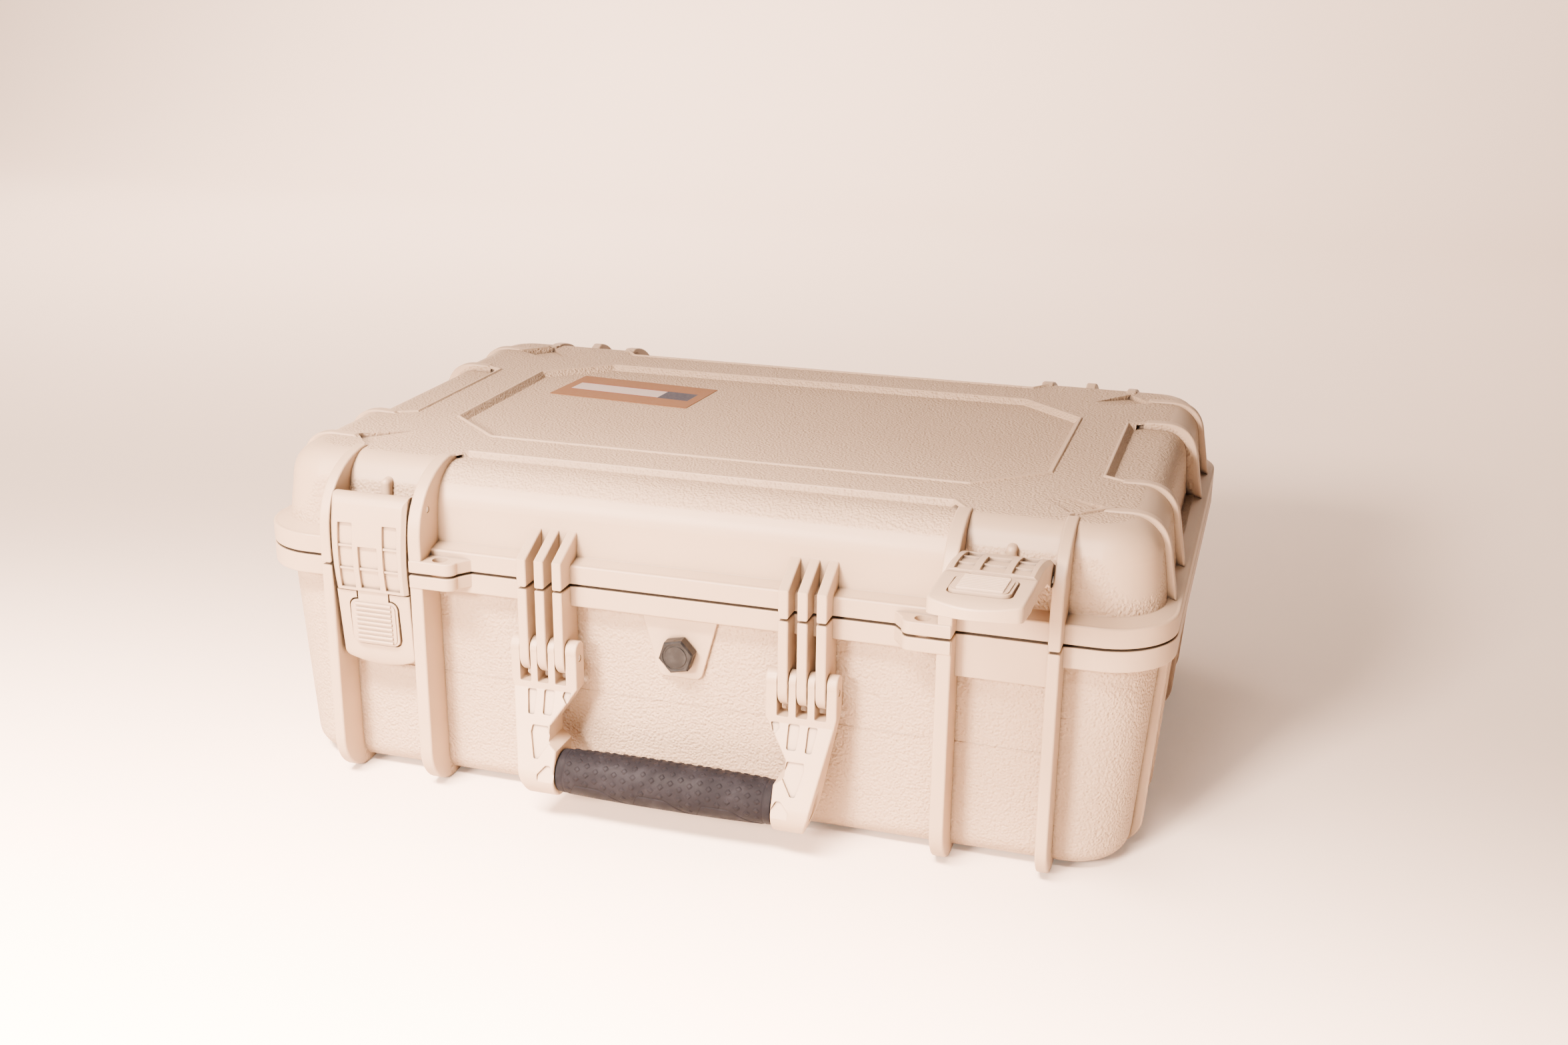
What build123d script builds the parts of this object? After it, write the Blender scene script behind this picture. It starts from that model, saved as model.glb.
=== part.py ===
"""Hard equipment case: moulded base and lid, two latches, carry handle, pressure valve and seal.

Frame: X along the case's width (+X to the viewer's right), the front faces -Y, +Z up.
The origin is the centre of the rim in X and Y, on the plane that the underside ribs stand on.
All sizes are in millimetres. The lid is closed, the left latch closed and the right latch open.
"""

import math
import os

from build123d import *

# ---- driving dimensions -------------------------------------------------
RIM_X = 280.0  # half width over the rim bands
RIM_Y = 183.0  # half depth over the rim bands
RIM_R = 40.0  # plan corner radius of the rim
BASE_TOP = 142.4  # parting face of the base
LID_BOTTOM = 144.0  # parting face of the lid
TOP_Z = 203.4  # main top surface of the lid
BEAD = 1.0  # height of the moulded beads above a surface
RUNNER = 3.0  # how far the ribs stand below the floor of the base

RIB_FRONT = 195.5  # front and back face of the bay ribs
INNER_RIB = (155.3, 163.6)  # |x| span of the ribs beside the middle panel
OUTER_RIB = (215.4, 222.3)  # |x| span of the ribs beside the corners
HINGE_RIB = (186.0, 193.0)  # |x| span of the rib in the middle of each hinge
SIDE_RIBS = (69.0, 126.5)  # |y| of the ribs on the two ends
SIDE_RIB_T = 7.0
BAY_X = (INNER_RIB[1] + OUTER_RIB[0]) / 2  # middle of each latch and hinge bay

WALL_BASE = 4.5
CAVITY_TOP = 195.5  # ceiling of the lid's cavity
SEAL_X, SEAL_Y, SEAL_R = 271.5, 175.0, 32.0  # centre line of the seal
CAVITY_X = 261.0  # half width of the opening at the rim
CAVITY_Y = 167.0  # half depth of the opening at the rim

HINGE_Y, HINGE_Z, HINGE_R = 191.0, 143.2, 7.0
HINGE_PIN_R = 2.5
LATCH_Y, LATCH_Z = -183.5, 180.2  # latch pin axis
LATCH_PIN_R = 2.0
LATCH_OPEN = {"left": 0.0, "right": 97.5}  # degrees from closed, as stored
LEVER_PIN_R = 1.5
HANDLE_Y, HANDLE_Z = -189.0, 100.3  # handle pin axis
HANDLE_PIN_R = 2.0
GRIP_Y, GRIP_Z, GRIP_R = -198.5, 31.0, 14.6
GRIP_HALF = 66.9
HELD_GAP = 0.03  # radial gap where a pin is held
RUNNING_GAP = 0.06  # radial gap where a part turns on a pin

SIDES = {"left": -1, "right": 1}
CORNERS = [(sx, sy) for sx in (-1, 1) for sy in (-1, 1)]


# ---- helpers ------------------------------------------------------------
def rounded_plate(plane, draw_outline, thickness, edge_radius):
    """A plate centred on a plane, the edges of both its faces rounded."""
    with BuildPart() as plate:
        with BuildSketch(plane):
            with BuildLine():
                draw_outline()
            make_face()
        extrude(amount=thickness / 2, both=True)
        sides = plate.faces().sort_by(Axis(plane.origin, plane.z_dir))
        fillet(sides[0].edges() + sides[-1].edges(), edge_radius)
    return plate.part


def prism(plane, points, height, taper=0.0):
    """A straight or tapered prism on a polygon."""
    with BuildPart() as block:
        with BuildSketch(plane):
            Polygon(*points, align=None)
        extrude(amount=height, taper=taper)
    return block.part


def rod(x0, x1, y, z, radius):
    """A round bar along X."""
    with BuildPart() as bar:
        with BuildSketch(Plane.YZ.offset(x0)):
            with Locations((y, z)):
                Circle(radius)
        extrude(amount=x1 - x0)
    return bar.part


def pin(x0, x1, y, z, radius):
    """A pin along X with broken end edges."""
    with BuildPart() as bar:
        with BuildSketch(Plane.YZ.offset(x0)):
            with Locations((y, z)):
                Circle(radius)
        extrude(amount=x1 - x0)
        chamfer(bar.edges().filter_by(GeomType.CIRCLE), 0.3)
    return bar.part


def ring_sketch(half_x, half_y, corner, width):
    """A rounded rectangular ring of constant width, centred on the given line."""
    w = width / 2
    RectangleRounded(2 * (half_x + w), 2 * (half_y + w), corner + w)
    RectangleRounded(2 * (half_x - w), 2 * (half_y - w), corner - w, mode=Mode.SUBTRACT)


def ear(plane, sign, height):
    """A padlock ear: a flat tongue beside the inner bay rib."""
    x_in = INNER_RIB[1] - 0.6
    with BuildPart() as tongue:
        with BuildSketch(plane):
            points = [
                (x_in, -170),
                (x_in, -196.3),
                (134.5, -196.3),
                (134.5, -190),
                (128.5, -182.5),
                (128.5, -170),
            ]
            Polygon(*[(sign * x, y) for x, y in points], align=None)
        extrude(amount=height)
        uprights = tongue.edges().filter_by(Axis.Z)
        fillet([e for e in uprights if abs(e.center().X) < 140 and e.center().Y < -195], 6)
        fillet(tongue.faces().sort_by(Axis.Z)[-1].edges(), 0.8)
        fillet(tongue.faces().sort_by(Axis.Z)[0].edges(), 0.8)
    return tongue.part


def mid(span):
    """The middle of a span."""
    return (span[0] + span[1]) / 2


def width(span):
    """The width of a span."""
    return span[1] - span[0]


# ---- base shell ---------------------------------------------------------
BASE_FLOOR = RUNNER  # outside face of the floor


def base_front_rib():
    """Side view of a base rib that runs down the front, under the floor and up the back."""
    r = 27
    Line((-RIB_FRONT, BASE_TOP), (-RIB_FRONT, r))
    RadiusArc((-RIB_FRONT, r), (-RIB_FRONT + r, 0), -r)
    Line((-RIB_FRONT + r, 0), (RIB_FRONT - r, 0))
    RadiusArc((RIB_FRONT - r, 0), (RIB_FRONT, r), -r)
    Polyline((RIB_FRONT, r), (RIB_FRONT, 120), (182, 133), (-150, 133))
    Polyline((-150, 133), (-170, BASE_TOP), (-RIB_FRONT, BASE_TOP))


def base_side_rib():
    """End view of a base rib that runs down one end, under the floor and up the other."""
    r = 20
    Line((-276.2, 131.5), (-268.6, r))
    Line((276.2, 131.5), (268.6, r))
    RadiusArc((-268.6, r), (-248.6, 0), -r)
    RadiusArc((248.6, 0), (268.6, r), -r)
    Line((-248.6, 0), (248.6, 0))
    Line((-276.2, 131.5), (276.2, 131.5))


def handle_lug():
    """Side view of a base lug that holds the handle's pin."""
    Polyline((-196, HANDLE_Z), (-196, BASE_TOP), (-170, BASE_TOP), (-170, 88.3), (-184, 88.3))
    RadiusArc((-184, 88.3), (-196, HANDLE_Z), 12)


LUG_X = (68.3, 79.5, 90.6)  # |x| middles of the handle lugs
LUG_T = 6.0

base_ribs = [
    rounded_plate(Plane.YZ.offset(s * mid(span)), base_front_rib, width(span), 1.2)
    for span in (INNER_RIB, OUTER_RIB)
    for s in (-1, 1)
]
base_ribs += [
    rounded_plate(Plane.XZ.offset(-s * y), base_side_rib, SIDE_RIB_T, 1.2)
    for y in SIDE_RIBS
    for s in (-1, 1)
]
handle_lugs = [
    rounded_plate(Plane.YZ.offset(s * x), handle_lug, LUG_T, 1.0) for x in LUG_X for s in (-1, 1)
]
base_ears = [ear(Plane.XY.offset(BASE_TOP - 8), s, 8) for s in (-1, 1)]

KNUCKLES_BASE = ((164.2, 185.4), (193.6, 214.8))  # |x| spans between the lid's hinge ribs
base_knuckles = []
for s in (-1, 1):
    for x0, x1 in KNUCKLES_BASE:
        lo, hi = sorted((s * x0, s * x1))
        with BuildPart() as knuckle:
            with BuildSketch(Plane.YZ.offset(lo)):
                with Locations((HINGE_Y, HINGE_Z)):
                    Circle(HINGE_R)
                with Locations((181, BASE_TOP - 12)):
                    Rectangle(10, 12, align=Align.MIN)
            extrude(amount=hi - lo)
        base_knuckles.append(knuckle.part)

with BuildPart() as base_block:
    with BuildSketch(Plane.XY.offset(BASE_FLOOR)):
        RectangleRounded(2 * 261.5, 2 * 173.0, 34)
    with BuildSketch(Plane.XY.offset(132)):
        RectangleRounded(2 * 271.0, 2 * 173.8, 36)
    loft()
    fillet(base_block.edges().group_by(Axis.Z)[0], 13)
    # the end panels stand back between the two inner ribs
    for s in (-1, 1):
        with BuildSketch(Plane.XZ):
            with BuildLine():
                Line((s * 267.4, 131), (s * 259.6, 16))
                RadiusArc((s * 259.6, 16), (s * 246.6, BASE_FLOOR), s * 13)
                Polyline((s * 246.6, BASE_FLOOR), (s * 246.6, -5), (s * 290, -5))
                Polyline((s * 290, -5), (s * 290, 131), (s * 267.4, 131))
            make_face()
        extrude(amount=SIDE_RIBS[0], both=True, mode=Mode.SUBTRACT)

with BuildPart() as base_band:
    with BuildSketch(Plane.XY.offset(130)):
        RectangleRounded(2 * RIM_X, 2 * RIM_Y, RIM_R)
    extrude(amount=BASE_TOP - 130)
    fillet(base_band.edges().group_by(Axis.Z)[0], 1.0)
    fillet(base_band.edges().group_by(Axis.Z)[-1], 0.5)

# thin mould line round the front and back walls
with BuildPart() as witness_band:
    with BuildSketch(Plane.XY.offset(72.8)):
        Rectangle(2 * OUTER_RIB[0], 2 * 173.7)
    extrude(amount=0.6)

with BuildPart() as valve_pad:
    with BuildSketch(Plane.XZ.offset(170)) as pad_face:
        Polygon((-23.9, 131), (-12.9, 90.5), (12.9, 90.5), (23.9, 131), align=None)
        fillet(pad_face.vertices().group_by(Axis.Y)[0], 5)
    extrude(amount=6.3)
    fillet(valve_pad.faces().sort_by(Axis.Y)[0].edges(), 0.8)

with BuildPart() as base_cavity:
    with BuildSketch(Plane.XY.offset(BASE_FLOOR + WALL_BASE)):
        RectangleRounded(2 * 252.5, 2 * 167.0, 26)
    with BuildSketch(Plane.XY.offset(150)):
        RectangleRounded(2 * CAVITY_X, 2 * CAVITY_Y, 26)
    loft()
    fillet(base_cavity.edges().group_by(Axis.Z)[0], 10)

VALVE_Z = 106.7
VALVE_HOLE_R = 5.2

with BuildPart() as base_shell:
    add(base_block.part)
    add(base_band.part)
    add(witness_band.part)
    add(base_ribs)
    add(handle_lugs)
    add(base_ears)
    add(base_knuckles)
    add(valve_pad.part)
    # catch plates that carry the rim down inside the latch bays
    for s in (-1, 1):
        with BuildSketch(Plane.XY.offset(117.5)):
            with Locations((s * BAY_X, -176)):
                Rectangle(OUTER_RIB[0] - INNER_RIB[1] + 1, 14)
        extrude(amount=14)
    # the seal's tongue on the parting face
    with BuildSketch(Plane.XY.offset(BASE_TOP)):
        ring_sketch(271.5, 175, 32, 3)
    extrude(amount=3.1)
    add(base_cavity.part, mode=Mode.SUBTRACT)
    # bores: hinge and handle pins, padlock ears, valve
    for s in (-1, 1):
        hinge_bore = rod(s * 160 - 60, s * 160 + 60, HINGE_Y, HINGE_Z, HINGE_PIN_R + HELD_GAP)
        handle_bore = rod(s * 79 - 22, s * 79 + 22, HANDLE_Y, HANDLE_Z, HANDLE_PIN_R + HELD_GAP)
        add([hinge_bore, handle_bore], mode=Mode.SUBTRACT)
        with BuildSketch(Plane.XY.offset(130)):
            with Locations((s * 146, -189)):
                Circle(4.6)
        extrude(amount=13, mode=Mode.SUBTRACT)
    with BuildSketch(Plane.XZ.offset(160)):
        with Locations((0, VALVE_Z)):
            Circle(VALVE_HOLE_R)
    extrude(amount=20, mode=Mode.SUBTRACT)

base_shell.part.label = "base_shell"
os.makedirs("parts", exist_ok=True)
export_step(base_shell.part, "parts/base_shell.step")


# ---- lid shell ----------------------------------------------------------
PANEL_Z = 200.9  # crest of the front and back middle panels
END_PANEL_Z = 200.0  # crest of the end middle panels
FLOOR_Z = 200.4  # floor of the top recess
RIB_TOP = 205.0

OCTAGON_END, OCTAGON_SIDE = (192.5, 64.1), (151.9, 100.0)  # its corners in one quarter
OCTAGON = [
    OCTAGON_END,
    OCTAGON_SIDE,
    (-OCTAGON_SIDE[0], OCTAGON_SIDE[1]),
    (-OCTAGON_END[0], OCTAGON_END[1]),
    (-OCTAGON_END[0], -OCTAGON_END[1]),
    (-OCTAGON_SIDE[0], -OCTAGON_SIDE[1]),
    (OCTAGON_SIDE[0], -OCTAGON_SIDE[1]),
    (OCTAGON_END[0], -OCTAGON_END[1]),
]


def front_panel_outline(s, reach):
    """Plan of the step that the front or back middle panel makes in the top, out to |y| = reach."""
    half = [(150, 138.5), (158.5, 150), (158.5, reach)]
    return [(x, s * y) for x, y in half] + [(-x, s * y) for x, y in reversed(half)]


def end_panel_outline(s, reach):
    """Plan of the step that an end middle panel makes in the top, out to |x| = reach."""
    half = [(227.5, 61), (240, 67.5), (reach, 67.5)]
    return [(s * x, y) for x, y in half] + [(s * x, -y) for x, y in reversed(half)]


def grown(points, by):
    """A polygon offset outwards, as a list of points."""
    with BuildSketch() as shape:
        Polygon(*points, align=None)
        offset(amount=by, kind=Kind.INTERSECTION)
    return shape.face()


def bead(points):
    """The low raised bead round a recess: a flat-topped frustum that the recess is then cut from."""
    with BuildPart() as frustum:
        with BuildSketch(Plane.XY.offset(TOP_Z - 0.6)):
            add(grown(points, 3.6))
        extrude(amount=0.6 + BEAD, taper=38)
    return frustum.part


def recess(points, depth):
    """The cutter of a recess with sloping sides, from above the bead to its floor."""
    with BuildPart() as cutter:
        with BuildSketch(Plane.XY.offset(TOP_Z + 2)):
            add(grown(points, 2.2))
        extrude(amount=-(depth + 2), taper=40)
    return cutter.part


def lid_front_rib(s, top, inner):
    """Side view of a lid bay rib; s is the side it stands on, top its crest, inner where it ends."""
    Line((s * RIB_FRONT, LID_BOTTOM), (s * RIB_FRONT, 161))
    Bezier((s * RIB_FRONT, 161), (s * RIB_FRONT, 190), (s * 172, top - 1.2), (s * (inner + 8), top))
    Polyline((s * (inner + 8), top), (s * inner, TOP_Z - 1), (s * inner, 158))
    Polyline((s * inner, 158), (s * 168, LID_BOTTOM), (s * RIB_FRONT, LID_BOTTOM))


def lid_side_rib(s, inner):
    """End view of a lid end rib."""
    Line((s * 276.6, 156), (s * 271.8, 184))
    Bezier((s * 271.8, 184), (s * 270, 197.5), (s * 263, RIB_TOP), (s * 249, RIB_TOP))
    Polyline((s * 249, RIB_TOP), (s * inner, RIB_TOP - 0.4), (s * (inner - 3), TOP_Z - 1))
    Polyline((s * (inner - 3), TOP_Z - 1), (s * (inner - 3), 156), (s * 276.6, 156))


def fin():
    """Side view of a lid fin above the handle lugs."""
    Polyline((-196, LID_BOTTOM), (-196, 160.6), (-170, 173), (-162, 173))
    Polyline((-162, 173), (-162, LID_BOTTOM), (-196, LID_BOTTOM))


def bay_rib(s, end, span, inner):
    """A lid rib at x = s * span on the front (end -1) or the back (end 1)."""
    plane = Plane.YZ.offset(s * mid(span))
    return rounded_plate(plane, lambda: lid_front_rib(end, RIB_TOP, inner), width(span), 1.2)


def end_rib(sx, sy, y, inner):
    """A lid rib on one end at y = sy * y."""
    plane = Plane.XZ.offset(-sy * y)
    return rounded_plate(plane, lambda: lid_side_rib(sx, inner), SIDE_RIB_T, 1.2)


lid_ribs = [bay_rib(sx, sy, INNER_RIB, 143) for sx, sy in CORNERS]
lid_ribs += [bay_rib(sx, sy, OUTER_RIB, 139) for sx, sy in CORNERS]
lid_ribs += [bay_rib(s, 1, HINGE_RIB, 150) for s in (-1, 1)]
lid_ribs += [end_rib(sx, sy, SIDE_RIBS[0], 238) for sx, sy in CORNERS]
lid_ribs += [end_rib(sx, sy, SIDE_RIBS[1], 234) for sx, sy in CORNERS]
fins = [rounded_plate(Plane.YZ.offset(s * x), fin, LUG_T, 1.0) for x in LUG_X for s in (-1, 1)]
lid_ears = [ear(Plane.XY.offset(LID_BOTTOM), s, 7.6) for s in (-1, 1)]
lid_knuckles = [
    rod(*sorted((s * span[0], s * span[1])), HINGE_Y, HINGE_Z, HINGE_R)
    for span in (INNER_RIB, HINGE_RIB, OUTER_RIB)
    for s in (-1, 1)
]

with BuildPart() as lid_block:
    with BuildSketch(Plane.XY.offset(155)):
        RectangleRounded(2 * 271.8, 2 * 171.9, 34)
    extrude(amount=TOP_Z - 155, taper=7.5)
    fillet(lid_block.edges().group_by(Axis.Z)[-1], 20)

with BuildPart() as lid_band:
    with BuildSketch(Plane.XY.offset(LID_BOTTOM)):
        RectangleRounded(2 * RIM_X, 2 * RIM_Y, RIM_R)
    extrude(amount=11.5)
    fillet(lid_band.edges().group_by(Axis.Z)[-1], 1.2)
    fillet(lid_band.edges().group_by(Axis.Z)[0], 0.5)

with BuildPart() as band_slope:
    with BuildSketch(Plane.XY.offset(155.2)):
        RectangleRounded(2 * (RIM_X - 1.4), 2 * (RIM_Y - 1.4), RIM_R - 1.4)
    with BuildSketch(Plane.XY.offset(158)):
        RectangleRounded(2 * 270, 2 * 170, 31)
    loft()

with BuildPart() as middle_panels:
    # front to back: one profile spans the lid's depth between the inner ribs
    with BuildSketch(Plane.YZ) as panel_profile:
        Polygon((-172.9, 156), (172.9, 156), (168.9, PANEL_Z), (-168.9, PANEL_Z), align=None)
        fillet(panel_profile.vertices().group_by(Axis.Y)[-1], 24)
    extrude(amount=INNER_RIB[0] + 2, both=True)

with BuildPart() as end_panels:
    with BuildSketch(Plane.XZ) as end_profile:
        Polygon((-266.5, 156), (266.5, 156), (263, END_PANEL_Z), (-263, END_PANEL_Z), align=None)
        fillet(end_profile.vertices().group_by(Axis.Y)[-1], 15)
    extrude(amount=SIDE_RIBS[0], both=True)

# shallow pockets that run down towards the corners of the top
POCKET_LENGTH, POCKET_DROP = 34.0, 3.4
pocket_cutters = []
for sx, sy in CORNERS:
    level = Vector(sx * 25.6, sy * 21.8, 0).normalized()
    downhill = level * POCKET_LENGTH - Vector(0, 0, POCKET_DROP)
    sideways = Vector(0, 0, 1).cross(level)
    start = Vector(sx * 201.2, sy * 109.5, TOP_Z)
    slope = Plane(origin=start, x_dir=downhill, z_dir=downhill.cross(sideways))
    fan = [(0, -5), (0, 5), (POCKET_LENGTH, 13), (POCKET_LENGTH, -13)]
    pocket_cutters.append(prism(slope, fan, 8))

corner_beads = []
for sx, sy in CORNERS:
    plan = [(240, 122.8), (236.5, 120.5), (215.6, 139.5), (215.6, 144.5)]
    plan = [(sx * x, sy * y) for x, y in plan]
    corner_beads.append(prism(Plane.XY.offset(TOP_Z - 4), plan, 5.4, taper=5))

with BuildPart() as lid_cavity:
    with BuildSketch(Plane.XY.offset(LID_BOTTOM - 2)):
        RectangleRounded(2 * CAVITY_X, 2 * CAVITY_Y, 30)
    extrude(amount=CAVITY_TOP - LID_BOTTOM + 2, taper=4)
    fillet(lid_cavity.edges().group_by(Axis.Z)[-1], 22)

# bumper post on the wall above each latch
bumpers = []
for s in (-1, 1):
    with BuildPart() as bumper:
        with BuildSketch(Plane.XY.offset(156)):
            with Locations((s * BAY_X, -170.4)):
                Circle(3)
            with Locations((s * BAY_X, -165.4)):
                Rectangle(6, 10)
        extrude(amount=36.3)
        fillet(bumper.faces().sort_by(Axis.Z)[-1].edges(), 2.7)
    bumpers.append(bumper.part)

with BuildPart() as lid_shell:
    add(lid_block.part)
    # rounded corners of the block stay; its four middles make way for the panels
    for s in (-1, 1):
        middle = [(-157, s * 141), (157, s * 141), (157, s * 230), (-157, s * 230)]
        end = [(s * 231, -67), (s * 231, 67), (s * 300, 67), (s * 300, -67)]
        add(prism(Plane.XY.offset(158.5), middle, 60), mode=Mode.SUBTRACT)
        add(prism(Plane.XY.offset(158.5), end, 60), mode=Mode.SUBTRACT)
    add([middle_panels.part, end_panels.part, lid_band.part, band_slope.part])
    add(bead(OCTAGON))
    add([bead(front_panel_outline(s, 151)) for s in (-1, 1)])
    add([bead(end_panel_outline(s, 242)) for s in (-1, 1)])

    add(recess(OCTAGON, TOP_Z - FLOOR_Z), mode=Mode.SUBTRACT)
    for s in (-1, 1):
        add(recess(front_panel_outline(s, 205), TOP_Z - PANEL_Z), mode=Mode.SUBTRACT)
        add(recess(end_panel_outline(s, 295), TOP_Z - END_PANEL_Z), mode=Mode.SUBTRACT)
    add(corner_beads)
    add(lid_ribs)
    add(fins + lid_ears + lid_knuckles + bumpers)
    add(pocket_cutters, mode=Mode.SUBTRACT)
    add(lid_cavity.part, mode=Mode.SUBTRACT)
    # seal groove
    with BuildSketch(Plane.XY.offset(LID_BOTTOM)):
        ring_sketch(SEAL_X, SEAL_Y, SEAL_R, 6)
    extrude(amount=5, mode=Mode.SUBTRACT)
    # clear the base's knuckles, then bore the pin holes
    for s in (-1, 1):
        for span in KNUCKLES_BASE:
            lo, hi = sorted((s * (span[0] - 0.5), s * (span[1] + 0.5)))
            add(rod(lo, hi, HINGE_Y, HINGE_Z, HINGE_R + 0.6), mode=Mode.SUBTRACT)
        hinge_bore = rod(s * 189 - 36, s * 189 + 36, HINGE_Y, HINGE_Z, HINGE_PIN_R + RUNNING_GAP)
        latch_bore = rod(s * 188.3 - 33.5, s * 188.3 + 33.5, LATCH_Y, LATCH_Z, LATCH_PIN_R + HELD_GAP)
        add([hinge_bore, latch_bore], mode=Mode.SUBTRACT)
        with BuildSketch(Plane.XY.offset(140)):
            with Locations((s * 146, -189)):
                Circle(4.6)
        extrude(amount=14, mode=Mode.SUBTRACT)

lid_shell.part.label = "lid_shell"
export_step(lid_shell.part, "parts/lid_shell.step")

# ---- seal, label, hinge pins --------------------------------------------
with BuildPart() as lid_gasket:
    with BuildSketch(Plane.XY.offset(146.1)):
        ring_sketch(SEAL_X, SEAL_Y, SEAL_R, 5.6)
    extrude(amount=2.85)
    fillet(lid_gasket.faces().sort_by(Axis.Z)[0].edges(), 1.2)
lid_gasket.part.label = "lid_gasket"
export_step(lid_gasket.part, "parts/lid_gasket.step")

with BuildPart() as label_sticker:
    with BuildSketch(Plane.XY.offset(FLOOR_Z)):
        with Locations(Location((-114.8, 44.8), -4.4)):
            RectangleRounded(104, 55, 0.8)
    extrude(amount=0.3)
label_sticker.part.label = "label_sticker"
export_step(label_sticker.part, "parts/label_sticker.step")

for side, s in SIDES.items():
    lo, hi = sorted((s * (INNER_RIB[0] + 0.4), s * (OUTER_RIB[1] - 0.4)))
    hinge_pin = pin(lo, hi, HINGE_Y, HINGE_Z, HINGE_PIN_R)
    hinge_pin.label = f"hinge_pin_{side}"
    export_step(hinge_pin, f"parts/hinge_pin_{side}.step")

# ---- latches ------------------------------------------------------------
# Each latch is drawn in its own frame: x across, y up from the pin axis, z out of the case.
LATCH_HALF = 24.9
BARREL_R = 7.3  # rolled upper end of the lever
BARREL_Z = 3.0  # middle of the rolled end, out from the pin axis
CORE_R = 4.9  # the body's tube round the latch pin
LEVER_Y, LEVER_Z = -10.0, 3.8  # lever pin axis in the latch's frame
GRID_END = -52.0  # lower edge of the lever's grid plate
TIP_END = -102.3  # lowest point of the latch
TIP_CORNER = (24.0, -96.5)
GRID_FACE = ((1.8, 10.1), (-24.0, 13.9), (GRID_END, 12.0))  # bowed front face, as y and z
GRID_WALL = 3.6  # thickness of the grid plate
PLATE_FACE = ((-53.0, 10.7), (-92.0, 7.3), (-107.0, 0.6))  # lower plate, as y and z
PLATE_WALL = 3.2
PAD_MID, PAD_W, PAD_H = -72.6, 31.4, 28.6  # thumb pad
PAD_FACE_TOP, PAD_FACE_END = (-59.0, 10.6), (-87.5, 9.4)
PAD_SLOPE = (PAD_FACE_END[1] - PAD_FACE_TOP[1]) / (PAD_FACE_TOP[0] - PAD_FACE_END[0])
NECK_W = 20.0
SIDE_WINDOWS = ((-22.8, -9.3), (-37.2, -24.2), (-50.2, -38.6))
MIDDLE_WINDOWS = ((-36.8, -23.2), (-50.0, -38.4))
WINDOW_DEPTH, CROSS_RIB_DROP = 2.0, 0.8
RIDGES, RIDGE_PITCH, RIDGE_R = 9, 3.0, 0.95


def latch_plane(side):
    """The latch's frame: its front plane through the pin axis, swung open by the stored angle."""
    angle = math.radians(LATCH_OPEN[side])
    return Plane(
        origin=(SIDES[side] * BAY_X, LATCH_Y, LATCH_Z),
        x_dir=(1, 0, 0),
        z_dir=(0, -math.cos(angle), math.sin(angle)),
    )


def across(frame, x):
    """The latch's side-view plane at x: its local axes are the latch's y and z."""
    return Plane(origin=frame.from_local_coords((x, 0, 0)), x_dir=frame.y_dir, z_dir=frame.x_dir)


def side_slab(frame, half, draw):
    """A slab across the latch, its side view drawn as lines."""
    with BuildPart() as slab:
        with BuildSketch(across(frame, 0)):
            with BuildLine():
                draw()
            make_face()
        extrude(amount=half, both=True)
    return slab.part


def plate_outline(inset=0.0):
    """Front view of the lower plate: tapering sides and a bowed lower edge."""
    w = LATCH_HALF - 0.4 - inset
    top = GRID_END - 1
    x, y = TIP_CORNER[0] - inset, TIP_CORNER[1] + inset
    Polyline((-x, y), (-w, top), (w, top), (x, y))
    ThreePointArc((x, y), (0, TIP_END + inset), (-x, y))


def plate_side(drop=0.0, back=0.3, heel=-1.4):
    """Side view of the lower plate, its front face lowered by drop."""
    top, bend, tip = [(y, z - drop) for y, z in PLATE_FACE]
    Line(top, bend)
    TangentArc(bend, tip, tangent=(bend[0] - top[0], bend[1] - top[1]))
    Polyline(tip, (tip[0], heel), (-72, heel), (-65, back), (top[0], back), top)


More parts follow.
